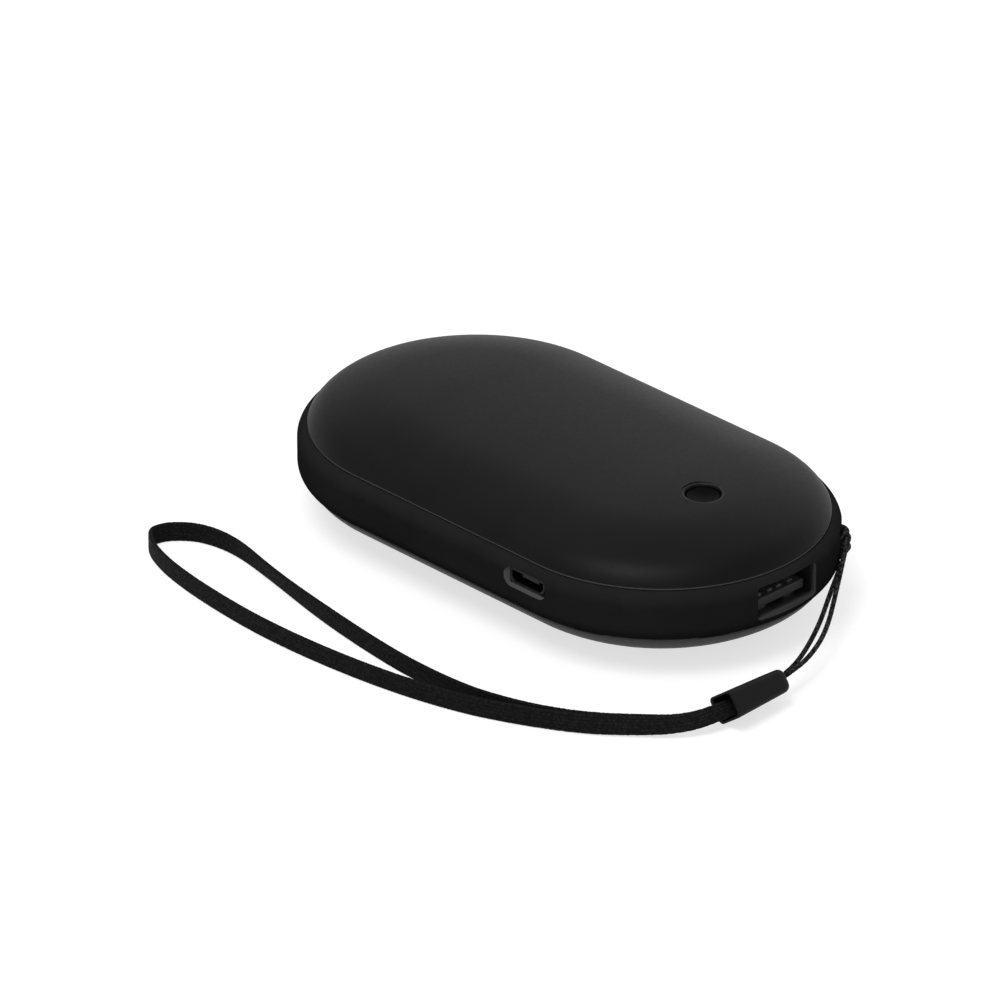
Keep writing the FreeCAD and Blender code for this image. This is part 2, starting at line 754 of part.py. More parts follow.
def usb_a_contacts():
    """Four contact strips on the upper face of the tongue."""
    base = usb_a_front - usb_a_depth + usb_a_shell_wall + usb_a_base_depth
    low = usb_a_tongue_span()[1]
    middle_x = base + usb_a_contact_length / 2
    span = (low, low + usb_a_contact_thickness)
    return [
        centred_block(middle_x, y, usb_a_contact_length, usb_a_contact_width, span)
        for y in usb_a_contact_places
    ]


def micro_shell():
    """Steel shell of the charging socket, closed at its rear."""
    depth = Vector(0, micro_depth, 0)
    shell = micro_section(micro_shell_wall, micro_front).extrude(depth)
    return shell.cut(micro_section(0, micro_front).extrude(depth - Vector(0, micro_shell_wall, 0)))


def micro_tongue_low():
    return middle + micro_height - micro_mouth_height / 2 + micro_tongue_lift


def micro_tongue():
    rear = micro_front + micro_depth - micro_shell_wall
    base_face = micro_section(-micro_clearance / 2, rear - micro_base_depth)
    base = base_face.extrude(Vector(0, micro_base_depth, 0))
    low = micro_tongue_low()
    half = micro_tongue_width / 2
    tongue = block((micro_x - half, micro_x + half),
                   (micro_front + micro_tongue_recess, rear), (low, low + micro_tongue_thickness))
    return base.fuse(tongue).removeSplitter()


def micro_contacts():
    """Five contact strips under the tongue."""
    rear = micro_front + micro_depth - micro_shell_wall - micro_base_depth
    front = micro_front + 2 * micro_tongue_recess
    high = micro_tongue_low()
    strips = []
    for index in range(micro_contact_count):
        x = micro_x + (index - (micro_contact_count - 1) / 2) * micro_contact_pitch
        strips.append(block((x - micro_contact_width / 2, x + micro_contact_width / 2), (front, rear),
                            (high - micro_contact_thickness, high)))
    return strips


def terrace_top():
    return middle + terrace_thickness / 2


def battery_cell():
    """Pouch with rounded edges and the sealed terrace at its front."""
    half = battery_width / 2
    pouch = block((battery_rear, cell_front), (-half, half), (middle - battery_thickness / 2, battery_top))
    pouch = pouch.makeFillet(battery_corner_radius, pouch.Edges)
    inner = half - terrace_side_gap
    terrace = block((cell_front - battery_corner_radius, battery_front), (-inner, inner),
                    (middle - terrace_thickness / 2, terrace_top()))
    return pouch.fuse(terrace).removeSplitter()


def battery_tabs():
    low = terrace_top()
    return [
        block((cell_front, cell_front + battery_tab_length),
              (y - battery_tab_width / 2, y + battery_tab_width / 2), (low, low + battery_tab_thickness))
        for y in battery_tab_places
    ]


def protection_board():
    low = terrace_top() + battery_tab_thickness
    return block((battery_front - protection_board_length, battery_front),
                 (-protection_board_width / 2, protection_board_width / 2),
                 (low, low + protection_board_thickness))


def heating_film(crowned, front):
    """Thin film that follows the inside of a cover, on the upper side of the case."""
    patch = block((battery_rear + film_inset, front), (-film_half_width, film_half_width),
                  (battery_top, case_height))
    return patch.common(dome(film_inset_depth, crowned)).cut(dome(film_face, crowned))


def upper_heating_film():
    return heating_film(True, upper_film_front)


def lower_heating_film():
    return flip(heating_film(False, lower_film_front))


def insulation(crowned):
    """Sheet that fills the space between the battery and a heating film."""
    half = battery_width / 2 - insulation_side_gap
    filler = block((battery_rear + film_inset, cell_front), (-half, half),
                   (battery_top + insulation_gap, case_height))
    return filler.common(dome(film_face + insulation_gap, crowned))


def upper_insulation():
    return insulation(True)


def lower_insulation():
    return flip(insulation(False))


def thermistor_height():
    return crown_height(thermistor_y, film_face) - thermistor_radius - thermistor_gap


def thermistor():
    """Bead under the upper heating film."""
    rear_x = board_rear + thermistor_from_board - thermistor_length / 2
    rear = Vector(rear_x, thermistor_y, thermistor_height())
    front = rear + Vector(thermistor_length, 0, 0)
    barrel = Part.makeCylinder(thermistor_radius, thermistor_length, rear, Vector(1, 0, 0))
    ends = [Part.makeSphere(thermistor_radius, rear), Part.makeSphere(thermistor_radius, front)]
    return barrel.fuse(ends).removeSplitter()


def route_pieces(points):
    """Straight runs joined by tangent arcs, each as points with their directions."""
    places = [Vector(*point) for point in points]
    headings = [(end - start).normalize() for start, end in zip(places, places[1:])]
    lengths = [(end - start).Length for start, end in zip(places, places[1:])]
    pieces = []
    radii = []
    start = places[0]
    for index in range(1, len(places) - 1):
        before = headings[index - 1]
        after = headings[index]
        half_turn = before.getAngle(after) / 2
        tangent = bend_share * min(lengths[index - 1], lengths[index])
        radius = tangent / math.tan(half_turn)
        arc_start = places[index] - before * tangent
        arc_end = places[index] + after * tangent
        inward = (after - before).normalize()
        arc_middle = places[index] + inward * (radius / math.cos(half_turn) - radius)
        pieces.append([(start, before), (arc_start, before)])
        pieces.append([(arc_start, before), (arc_middle, (before + after).normalize()), (arc_end, after)])
        radii.append(radius)
        start = arc_end
    pieces.append([(start, headings[-1]), (places[-1], headings[-1])])
    return pieces, radii


def route_edge(piece, aside):
    """Edge of one piece of a route, moved aside to its left in plan."""
    shifted = [place + Vector(0, 0, 1).cross(heading) * aside for place, heading in piece]
    if len(shifted) == 2:
        return Part.makeLine(*shifted)
    return Part.Arc(*shifted).toShape()


def tube(points, diameter):
    """Round lead or cord along a route."""
    pieces, radii = route_pieces(points)
    path = Part.Wire([route_edge(piece, 0) for piece in pieces])
    start, heading = pieces[0][0]
    ring = Part.Wire([Part.Circle(start, heading, diameter / 2).toShape()])
    return path.makePipeShell([ring], True, False), path.Length, radii


def upright_lead(x, y, start, end, diameter):
    """Lead that leaves one face and meets another square on, with a gentle jog between."""
    step = math.copysign(lead_end_run, end - start)
    far_x = x + lead_offset
    points = ((x, y, start), (x, y, start + step), (far_x, y, end - step), (far_x, y, end))
    return tube(points, diameter)[0]


def battery_leads():
    """Two leads from the protection board over the rib to the circuit board."""
    start = terrace_top() + battery_tab_thickness + protection_board_thickness
    rear_crest = middle + rib_above_middle + lead_over_rib
    front_crest = rear_crest + lead_diameter
    rear = battery_front - protection_board_length / 2
    front = board_rear + battery_lead_inset
    leads = []
    for y in battery_lead_places:
        points = ((rear, y, start), (rear, y, rear_crest), (front, y, front_crest), (front, y, board_top))
        leads.append(tube(points, lead_diameter)[0])
    return leads


def upper_heater_leads():
    leads = []
    x = upper_film_front - upper_lead_inset
    for y in upper_lead_places:
        start = crown_height(abs(y) + lead_diameter / 2, film_face)
        leads.append(upright_lead(x, y, start, board_top, lead_diameter))
    return leads


def lower_heater_leads():
    x = lower_film_front - lower_lead_inset
    return [upright_lead(x, y, film_face, board_bottom, lead_diameter) for y in lower_lead_places]


def thermistor_leads():
    front = board_rear + thermistor_from_board + thermistor_length / 2 + thermistor_radius
    height = thermistor_height()
    leads = []
    for side in (-0.5, 0.5):
        y = thermistor_y + side * thermistor_lead_pitch
        bend = front + 2 * lead_offset
        points = ((front, y, height), (bend, y, height), (bend, y, board_top))
        leads.append(tube(points, thermistor_lead_diameter)[0])
    return leads


def power_inductor():
    inset, y, length, width, height = inductor_size
    body = centred_block(board_rear + inset, y, length, width, (board_top, board_top + height))
    upright = [edge for edge in body.Edges if edge.tangentAt(edge.FirstParameter).z ** 2 > 0.5]
    return body.makeFillet(inductor_corner, upright)


def control_chips():
    return [
        centred_block(board_rear + inset, y, length, width, (board_top, board_top + height))
        for inset, y, length, width, height in chip_sizes
    ]


def capacitors():
    length, width, height = capacitor_size
    return [
        centred_block(board_rear + inset, y, length, width, (board_top, board_top + height))
        for inset, y in capacitor_places
    ]


def strap_knot():
    """Two wraps of cord round the lanyard post, with the bight that crosses them."""
    centre = lanyard_place + Vector(0, 0, middle)
    half = Vector(0, 0, knot_wrap_spacing / 2)
    wraps = [Part.makeTorus(knot_wrap_radius, knot_cord_radius, centre + side) for side in (half, -half)]
    turn = math.radians(knot_bight_angle)
    foot = centre - half + Vector(math.cos(turn), math.sin(turn), 0) * knot_bight_reach
    bight = Part.makeCylinder(knot_bight_radius, knot_wrap_spacing, foot)
    return wraps[0].fuse([wraps[1], bight]).removeSplitter()


def from_post(points):
    """Strap places, given from the lanyard post, as places in the frame of the case."""
    return [lanyard_place + Vector(*point) for point in points]


def strap_cord(start, points):
    """One thin cord of the strap, from beside the knot; prints its length and bends."""
    route = [Vector(*start) + Vector(0, 0, middle)] + list(points)
    solid, length, radii = tube(from_post(route), cord_diameter)
    section = math.pi * cord_diameter ** 2 / 4
    print("cord length", round(length, 1), "volume share", round(solid.Volume / (section * length), 4),
          "radii", [round(radius, 1) for radius in radii])
    return solid


def lay_ferrule(shape):
    """Roll a shape that was drawn along Y and lay it where the ferrule lies."""
    lean = math.radians(strap_lean)
    lift = (ferrule_width * math.sin(lean) + ferrule_thickness * math.cos(lean)) / 2 + ferrule_floor_gap
    placed = shape.copy()
    placed.rotate(Vector(), Vector(0, 1, 0), -strap_lean)
    return placed.translated(lanyard_place + Vector(ferrule_from_post, ferrule_mouth_from_post, lift))


def ferrule_size(y):
    """Width and thickness of the ferrule's taper at a distance from its mouth."""
    share = y / (ferrule_length - ferrule_nose)
    width = ferrule_width + share * (ferrule_tip_width - ferrule_width)
    thickness = ferrule_thickness + share * (ferrule_tip_thickness - ferrule_thickness)
    return width, thickness


def strap_ferrule():
    """Tapered sleeve with a mouth for the webbing and a rounded nose with a hole for the cords."""
    sections = [rounded_section(*ferrule_size(0), ferrule_corner_radius, 0)]
    nose_start = ferrule_length - ferrule_nose
    for step in range(ferrule_nose_steps + 1):
        turn = math.pi / 2 * step / ferrule_nose_steps
        inset = 2 * ferrule_nose_inset * (1 - math.cos(turn))
        sections.append(rounded_section(ferrule_tip_width - inset, ferrule_tip_thickness - inset,
                                        ferrule_corner_radius, nose_start + ferrule_nose * math.sin(turn)))
    mouth_sections = []
    for y in (0, ferrule_mouth_depth):
        width, thickness = ferrule_size(y)
        mouth_sections.append(rounded_section(
            width - 2 * ferrule_side_wall, thickness - 2 * ferrule_edge_wall, ferrule_mouth_corner_radius, y))
    body = Part.makeLoft(sections, True, True)
    mouth = Part.makeLoft(mouth_sections, True, True)
    hole = centred_block(0, ferrule_length / 2, ferrule_hole_width, ferrule_length,
                         (-ferrule_hole_height / 2, ferrule_hole_height / 2))
    return lay_ferrule(body.cut([mouth, hole]))


def webbing_section(place, heading, lean):
    """Rectangle across the webbing, standing on its lower edge and tipped to its left by lean."""
    aside = Vector(0, 0, 1).cross(heading).normalize()
    tip = math.radians(lean)
    up = Vector(0, 0, 1)
    across = aside * math.sin(tip) + up * math.cos(tip)
    half = (aside * math.cos(tip) - up * math.sin(tip)) * (webbing_thickness / 2)
    foot = place + up * abs(half.z)
    head = foot + across * webbing_width
    return Part.makePolygon([foot - half, foot + half, head + half, head - half, foot - half])


def wrist_strap():
    """Webbing on its edge, leaning over only where it comes out of the ferrule and goes back in."""
    pieces, radii = route_pieces(from_post(webbing_points))
    path = Part.Wire([route_edge(piece, 0) for piece in pieces])
    print("webbing length", round(path.Length, 1), "radii", [round(radius, 1) for radius in radii])
    places = path.discretize(Number=webbing_sections)
    last = len(places) - 1
    step = path.Length / last
    sections = []
    for index, place in enumerate(places):
        heading = places[min(index + 1, last)] - places[max(index - 1, 0)]
        # The lean is full inside the ferrule and fades to nothing further along
        shares = []
        for along in (index * step, (last - index) * step):
            fade = (webbing_upright_from - along) / (webbing_upright_from - webbing_lean_end)
            shares.append(min(1, max(0, fade)))
        sections.append(webbing_section(place, heading, strap_lean * (shares[1] - shares[0])))
    return Part.makeLoft(sections, True, True)


def export(name, shape):
    """Write one named piece, or a group of like pieces, after a test of its solids."""
    solids = shape if isinstance(shape, list) else shape.Solids
    for solid in solids:
        if not solid.isValid():
            print(name, "has a solid that is not valid")
    piece = solids[0] if len(solids) == 1 else Part.makeCompound(solids)
    print(name, len(solids), round(piece.Volume, 2))
    piece.exportStep(os.path.join("parts", name + ".step"))


nodes = {
    "top_cover": top_cover,
    "bottom_cover": bottom_cover,
    "middle_frame": middle_frame,
    "power_button": power_button,
    "switch_body": switch_body,
    "switch_plate": switch_plate,
    "switch_plunger": switch_plunger,
    "circuit_board": circuit_board,
    "board_screws": board_screws,
    "indicator_lamps": indicator_lamps,
    "power_inductor": power_inductor,
    "control_chips": control_chips,
    "capacitors": capacitors,
    "usb_a_shell": usb_a_shell,
    "usb_a_tongue": usb_a_tongue,
    "usb_a_contacts": usb_a_contacts,
    "micro_usb_shell": micro_shell,
    "micro_usb_tongue": micro_tongue,
    "micro_usb_contacts": micro_contacts,
    "battery_cell": battery_cell,
    "battery_tabs": battery_tabs,
    "battery_protection_board": protection_board,
    "battery_leads": battery_leads,
    "upper_heating_film": upper_heating_film,
    "lower_heating_film": lower_heating_film,
    "upper_heater_leads": upper_heater_leads,
    "lower_heater_leads": lower_heater_leads,
    "upper_insulation": upper_insulation,
    "lower_insulation": lower_insulation,
    "thermistor": thermistor,
    "thermistor_leads": thermistor_leads,
    "strap_knot": strap_knot,
    "strap_cord_inner": lambda: strap_cord(inner_cord_start, inner_cord_points),
    "strap_cord_outer": lambda: strap_cord(outer_cord_start, outer_cord_points),
    "strap_ferrule": strap_ferrule,
    "wrist_strap": wrist_strap,
}

os.makedirs("parts", exist_ok=True)
for node_name, build in nodes.items():
    export(node_name, build())
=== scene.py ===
"""Looks of a rechargeable hand warmer: a finish for every solid part, and its woven wrist strap.

Everything is in metres, in the frame of the solid parts.
"""
import json
import math

import bpy
import numpy as np
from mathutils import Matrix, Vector


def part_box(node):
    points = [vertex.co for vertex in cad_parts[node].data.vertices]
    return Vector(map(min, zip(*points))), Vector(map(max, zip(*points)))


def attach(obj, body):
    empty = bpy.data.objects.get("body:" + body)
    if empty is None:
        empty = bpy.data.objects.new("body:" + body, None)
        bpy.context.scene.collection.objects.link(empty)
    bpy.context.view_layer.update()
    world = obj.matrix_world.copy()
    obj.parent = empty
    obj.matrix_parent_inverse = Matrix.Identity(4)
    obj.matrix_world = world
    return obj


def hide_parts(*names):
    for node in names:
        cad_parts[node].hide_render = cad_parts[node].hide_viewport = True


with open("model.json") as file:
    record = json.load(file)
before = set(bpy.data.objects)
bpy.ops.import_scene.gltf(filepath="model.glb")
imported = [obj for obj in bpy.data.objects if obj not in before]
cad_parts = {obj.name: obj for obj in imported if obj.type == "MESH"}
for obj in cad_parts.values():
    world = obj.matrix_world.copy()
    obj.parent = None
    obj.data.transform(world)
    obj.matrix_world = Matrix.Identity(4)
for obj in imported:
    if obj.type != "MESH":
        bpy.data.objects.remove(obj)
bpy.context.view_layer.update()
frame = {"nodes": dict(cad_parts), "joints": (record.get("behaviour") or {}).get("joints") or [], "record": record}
nodes = frame["nodes"]
joints = {joint["name"]: joint for joint in frame["joints"]}
mounts = {mount["name"]: Vector(mount["pos_m"]) for mount in frame["record"]["mounts"]}
lanyard_post = joints["strap_swing"]["pos_m"]

# Camera: the photograph's viewing angle and framing, and how far it sees; its lens is in mm, on a sensor
# 36 mm wide
VIEW_AZIMUTH = math.radians(45.78)
VIEW_ELEVATION = math.radians(28.02)
VIEW_RIGHT = Vector((math.cos(VIEW_AZIMUTH), math.sin(VIEW_AZIMUTH), 0))
VIEW_DISTANCE = 1.5
VIEW_LENS = 336.5
VIEW_LEFT = 0.010785
VIEW_DOWN = 0.00183
VIEW_REACH = 50

# World: its strength at the horizon, and overhead from a direction this steep on
WORLD_HORIZON = 1.0
WORLD_ZENITH = 0.6
WORLD_ZENITH_FROM = 0.7
# Shares of that strength that light matt surfaces, from the front and back and from the two sides
WORLD_FRONT_SHARE = 1.4
WORLD_SIDE_SHARE = 0.1

# Softboxes: place, width and power in watts
SOFTBOXES = {
    "key_light": ((-0.5, 1.15, 0.75), 1.5, 3.0),
    "fill_light": ((0.14, -0.55, 1.2), 0.6, 11.0),
}

# Floor: its matt colour, and the glow that makes it white as a background
FLOOR_RADIUS = 4.0
FLOOR_SIDES = 96
FLOOR_COLOUR = (0.35, 0.35, 0.35)
FLOOR_GLOW = 0.68

# Colour mix node: its sockets by number, because several of them share a name
MIX_SHARE = 0
MIX_FIRST = 6
MIX_SECOND = 7
MIX_RESULT = 2

# Moulded plastic, rubber and resin: darker and paler colour, roughness, and what isn't as usual
MOULDED = {
    "cover_plastic": ((0.0022, 0.0022, 0.0024), (0.0032, 0.0032, 0.0034), 0.5, {"IOR": 1.2}),
    # Paler copy of the cover plastic for the bottom cover: painted light from the floor below
    "cover_plastic_painted_floor_light": ((0.072, 0.072, 0.073), (0.086, 0.086, 0.087), 0.5, {"IOR": 1.13}),
    "frame_plastic": ((0.0115, 0.0115, 0.0118), (0.0142, 0.0142, 0.0145), 0.5, {"IOR": 1.0}),
    # Paler copies of the frame plastic for the walls round the two sockets: painted highlights
    "input_wall_painted_highlight": ((0.055, 0.055, 0.056), (0.066, 0.066, 0.067), 0.45, {"IOR": 1.2}),
    "output_wall_painted_highlight": ((0.035, 0.035, 0.0355), (0.045, 0.045, 0.0455), 0.45, {"IOR": 1.2}),
    "button_plastic": ((0.0018, 0.0018, 0.002), (0.0026, 0.0026, 0.0028), 0.4, {"IOR": 1.08}),
    "ferrule_plastic": ((0.0075, 0.0075, 0.0078), (0.0095, 0.0095, 0.0098), 0.5,
                        {"grain": 3500, "depth": 0.000006, "IOR": 1.17}),
    "socket_plastic": ((0.034, 0.034, 0.035), (0.042, 0.042, 0.043), 0.5, {"IOR": 1.3}),
    "chip_plastic": ((0.018, 0.018, 0.02), (0.026, 0.026, 0.028), 0.55, {"grain": 4000, "depth": 0.00001}),
    "ferrite": ((0.045, 0.045, 0.05), (0.07, 0.07, 0.075), 0.6, {"grain": 3000, "depth": 0.00002}),
    "ceramic": ((0.45, 0.33, 0.2), (0.58, 0.45, 0.3), 0.45, {"grain": 4000}),
    "lamp_resin": ((0.82, 0.8, 0.66), (0.9, 0.88, 0.75), 0.15,
                   {"grain": 3000, "depth": 0.000002, "spread": 0.04, "Transmission Weight": 0.3}),
    "lead_red": ((0.42, 0.02, 0.02), (0.52, 0.035, 0.03), 0.42, {"grain": 3000}),
    "lead_white": ((0.7, 0.7, 0.68), (0.8, 0.8, 0.78), 0.45, {"grain": 3000}),
    "sensor_epoxy": ((0.03, 0.03, 0.035), (0.055, 0.055, 0.06), 0.2, {"grain": 2000}),
}
CLOUDS_PER_METRE = 120
GRAINS_PER_GLOSS_PATCH = 4

# Plated and drawn metal: darker and paler colour, roughness, and the streaks' stretch if not as usual
PLATED = {
    "dark_steel": ((0.022, 0.022, 0.0225), (0.034, 0.034, 0.0345), 0.4),
    # Brighter copy of the socket shell's steel for its spring leaves: a painted highlight
    "leaf_painted_highlight": ((0.6, 0.6, 0.6), (0.75, 0.75, 0.75), 0.35),
    "socket_steel": ((0.11, 0.11, 0.111), (0.15, 0.15, 0.151), 0.4),
    "contact_metal": ((0.6, 0.6, 0.59), (0.75, 0.75, 0.73), 0.35),
    "screw_steel": ((0.42, 0.42, 0.44), (0.55, 0.55, 0.57), 0.3, (1, 1, 1)),
    "nickel": ((0.55, 0.53, 0.5), (0.68, 0.66, 0.62), 0.28),
}
STREAKS_PER_METRE = 900
STREAK_STRETCH = (1, 12, 12)
STREAK_SPREAD = 0.08
STREAK_DEPTH = 0.000002

# Yarn: darker and paler colour of each kind, the paler a painted highlight where it stands out and the darker
# painted shade in its hollows; what is even all over it, and its loose fibres
YARNS = {
    "webbing": ((0.0042, 0.0042, 0.0045), (0.0165, 0.0165, 0.0169)),
    "cord": ((0.001, 0.001, 0.0012), (0.05, 0.05, 0.051)),
}
YARN_SURFACE = {
    "Sheen Weight": 0.03, "Sheen Roughness": 0.5, "Sheen Tint": (0.35, 0.35, 0.36, 1),
    "Specular IOR Level": 0.08,
}
FIBRES_PER_METRE = 1900
FIBRE_DETAIL = 5.0
FIBRE_SHARE = (0.42, 0.66)
FIBRE_ROUGHNESS = (0.95, 0.7)
FIBRE_DEPTH = 0.00003

# Circuit board: solder mask, tracks along the edges of a pattern of cells, and pads at spots
MASK_SURFACE = {"Coat Weight": 0.3, "Coat Roughness": 0.2}
MASK_COLOUR = (0.012, 0.075, 0.03)
MASK_GRAIN = 2500
MASK_ROUGHNESS = (0.3, 0.45)
TRACKS_PER_METRE = 420.0
TRACK_EDGE = (0.05, 0.09)
TRACK_COLOUR = (0.03, 0.17, 0.06)
TRACK_DEPTH = 0.00003
PADS_PER_METRE = 380.0
PAD_EDGE = (0.12, 0.15)
PAD_COLOUR = (0.6, 0.58, 0.52)

# Heating film: amber film, and a track that winds through it
FILM_SURFACE = {"Coat Weight": 0.4, "Coat Roughness": 0.15}
FILM_COLOUR = (0.42, 0.16, 0.02)
FILM_GRAIN = 700
FILM_ROUGHNESS = (0.25, 0.4)
HEATER_SCALE = 55.0
HEATER_WANDER = 1.2
HEATER_EDGE = (0.45, 0.55)
HEATER_COLOUR = (0.2, 0.07, 0.015)
HEATER_DEPTH = 0.00003

# Pouch foil and felt: their colours, roughness and depth, and their creases or fibres, given as a number
# per metre, a stretch along each axis and a fineness
FOIL_COLOURS = ((0.5, 0.51, 0.53), (0.72, 0.73, 0.75))
FOIL_METALLIC = 0.9
FOIL_CREASES = (260, (1, 3, 1), 6.0)
FOIL_ROUGHNESS = (0.25, 0.45)
FOIL_DEPTH = 0.00025
FELT_SURFACE = {"Sheen Weight": 0.3, "Sheen Roughness": 0.6}
FELT_COLOURS = ((0.6, 0.6, 0.57), (0.8, 0.8, 0.77))
FELT_FIBRES = (2200, (1, 4, 1), 6.0)
FELT_ROUGHNESS = (0.98, 0.85)
FELT_DEPTH = 0.00008

# Painted light on the top cover: painted highlights as pale lines along its lower edge, between two heights,
# and round the button hole, between two distances from its axis; the lip inside the second line is painted shade,
# darker
EDGE_HIGHLIGHT_BAND = (0.0157, 0.0159)
HOLE_HIGHLIGHT_BAND = (0.0031, 0.0033)
LINE_FADE = 0.0001
EDGE_HIGHLIGHT_COLOUR = (0.07, 0.07, 0.071)
HOLE_HIGHLIGHT_COLOUR = (0.014, 0.014, 0.0143)
LIP_SHADE_COLOUR = (0.0012, 0.0012, 0.0013)

# Nodes that look unlike the rest of their material; the bottom cover's is a paler copy of the cover plastic,
# painted light from the floor below
OWN_FINISHES = {"bottom_cover": "cover_plastic_painted_floor_light", "micro_usb_shell": "dark_steel"}

# Faces that meet at less than this angle are shaded as one smooth surface, and corners whose places
# are the same to this many decimals are one point of it
SMOOTH_ANGLE = math.radians(30.0)
PLACE_DECIMALS = 7

# Painted highlights on the moulded walls of the two sockets: the parts of the frame that face a socket within
# this distance get a paler copy of the frame plastic
SOCKET_REACH = 0.008
SOCKET_FACING = 0.25
SOCKET_WALL_HIGHLIGHTS = {"usb_a_socket": "output_wall_painted_highlight", "micro_usb_socket": "input_wall_painted_highlight"}

# Spring leaves of the output socket, which get a painted highlight: the parts of its shell this close to the
# middle of its mouth
LEAF_SOCKET = "usb_a_socket"
LEAF_DEPTH = 0.01
LEAF_SPREAD = 0.0045
LEAF_HEIGHT = 0.00253

# Strap routes: x and y from the lanyard post, heights from the floor, as the solid parts have them
INNER_CORD = (
    (0.0035, -0.00195, 0.00985), (0.00706, -0.00852, 0.0077), (0.01145, -0.01585, 0.0057),
    (0.01517, -0.0239, 0.0044), (0.01589, -0.0287, 0.00355), (0.01626, -0.0316, 0.00327),
)
OUTER_CORD = (
    (0.00315, -0.00115, 0.0111), (0.00873, -0.00888, 0.009), (0.01435, -0.01707, 0.0065),
    (0.01638, -0.02318, 0.0049), (0.01669, -0.0276, 0.00425), (0.01714, -0.0316, 0.00392),
)
WEBBING = (
    (0.01754, -0.0369, 0.00183), (0.01754, -0.0436, 0.00183), (0.0148, -0.0492, 0.0008),
    (0.0097, -0.0538, 0.0002), (0.0029, -0.0594, 0.0), (-0.0057, -0.0642, 0.0),
    (-0.0151, -0.0682, 0.0), (-0.0269, -0.0712, 0.0), (-0.041, -0.0731, 0.0),
    (-0.0552, -0.0737, 0.0), (-0.0683, -0.0728, 0.0), (-0.0788, -0.0712, 0.0),
    (-0.0859, -0.0689, 0.0), (-0.0895, -0.0664, 0.0), (-0.0896, -0.064, 0.0),
    (-0.088, -0.0613, 0.0), (-0.0843, -0.0588, 0.0), (-0.0775, -0.058, 0.0),
    (-0.0666, -0.0601, 0.0), (-0.0534, -0.0631, 0.0), (-0.0408, -0.065, 0.0),
    (-0.0289, -0.0661, 0.0), (-0.0164, -0.0657, 0.0), (-0.0058, -0.063, 0.0),
    (0.0026, -0.0586, 0.0), (0.0091, -0.053, 0.0001), (0.0139, -0.0488, 0.0004),
    (0.01686, -0.0434, 0.00133), (0.01686, -0.0369, 0.00133),
)
SPLINE_ORDER = 3
SPLINE_STEPS = 24

# Thin cords: a round braid of crossing yarns, and the power of the painted shade that darkens the hollows between
# them
CORD_DIAMETER = 0.0008
INNER_CORD_LENGTH = 0.0333
OUTER_CORD_LENGTH = 0.0351
CORD_STEP = 0.00008
CORD_SIDES = 24
BRAID_YARNS = 4
BRAID_PITCH = 0.0014
BRAID_DEPTH = 0.2
BRAID_SHADE = 3

# Knot: the same braid drawn thicker, thinning to the cords at its ends, a little below the post's middle
KNOT_DIAMETER = 0.00105
KNOT_TAPER = 0.002
KNOT_FRONT = math.radians(-12.0)
KNOT_STEP = 12.0
KNOT_DROP = 0.0003
# Half of the knot, from its outermost tip twice round the post: degrees from the front, radius, height
KNOT_TURNS = (
    (-8, 0.0025, 0.0), (5, 0.0024, 0.0005), (30, 0.002, 0.0008), (75, 0.00155, 0.0008),
    (290, 0.00155, 0.0009), (410, 0.00155, 0.0016), (640, 0.00155, 0.0016),
)

# Wrist webbing: near the ferrule it is pinched and leans over, in full as far as the lean's end, and from
# there less and less, until it stands upright
WEBBING_WIDTH = 0.0035
WEBBING_THICKNESS = 0.0007
WEBBING_STEP = 0.00018
WEBBING_LEAN = math.radians(36.5)
WEBBING_LEAN_END = 0.006
WEBBING_UPRIGHT_FROM = 0.046
WEBBING_PINCH = 0.2
# Slight twist of its far strand: angle, place along the webbing and reach
TWIST = math.radians(-13.0)
TWIST_AT = 0.153
TWIST_REACH = 0.012
# Its weave: wales of slanting stitches, with painted shade that makes them darker where they are sunk
WALES = 6
WALE_SAMPLES = 5
WALE_DEPTH = 0.00007
STITCH = 0.0007
STITCH_DEPTH = 0.00005
STITCH_SHADE = 0.55
# Its edges: their share of the thickness, the powers that keep rounding and wear close to them, and how
# deep the wear goes
EDGE_SHARE = 0.35
EDGE_ROUNDING = 8
EDGE_WEAR = 9
WEBBING_FUZZ = 0.00004
FUZZ_SEED = 4

# Direction up, and the length below which a vector has no direction
UP = np.array((0.0, 0.0, 1.0))
NO_LENGTH = 1e-12


def link(piece):
    """Put an object into the scene."""
    bpy.context.scene.collection.objects.link(piece)
    return piece


def unit(vectors):
    """Vectors scaled to length one, along the last axis; those of no length stay as they are."""
    return vectors / np.maximum(np.linalg.norm(vectors, axis=-1, keepdims=True), NO_LENGTH)


# Shader nodes

def add_node(tree, kind, inputs=None, **settings):
    """New shader node, with its inputs set to values or linked to other nodes' outputs."""
    node = tree.nodes.new(kind)
    for name, value in settings.items():
        setattr(node, name, value)
    for name, value in (inputs or {}).items():
        if isinstance(value, bpy.types.NodeSocket):
            tree.links.new(value, node.inputs[name])
        else:
            node.inputs[name].default_value = value
    return node


def combined(tree, operation, first, second):
    """Number worked out from two numbers."""
    return add_node(tree, "ShaderNodeMath", {0: first, 1: second}, operation=operation).outputs[0]


def combined_vectors(tree, operation, *vectors):
    """Vector, length or product worked out from vectors."""
    step = add_node(tree, "ShaderNodeVectorMath", dict(enumerate(vectors)), operation=operation)
    return step.outputs["Value" if operation in ("LENGTH", "DOT_PRODUCT") else "Vector"]


def scaled(tree, share, low, high, start=0.3, end=0.7):
    """Value that runs from low to high as a share runs from start to end."""
    return add_node(tree, "ShaderNodeMapRange", {
        "Value": share, "From Min": start, "From Max": end, "To Min": low, "To Max": high}).outputs[0]


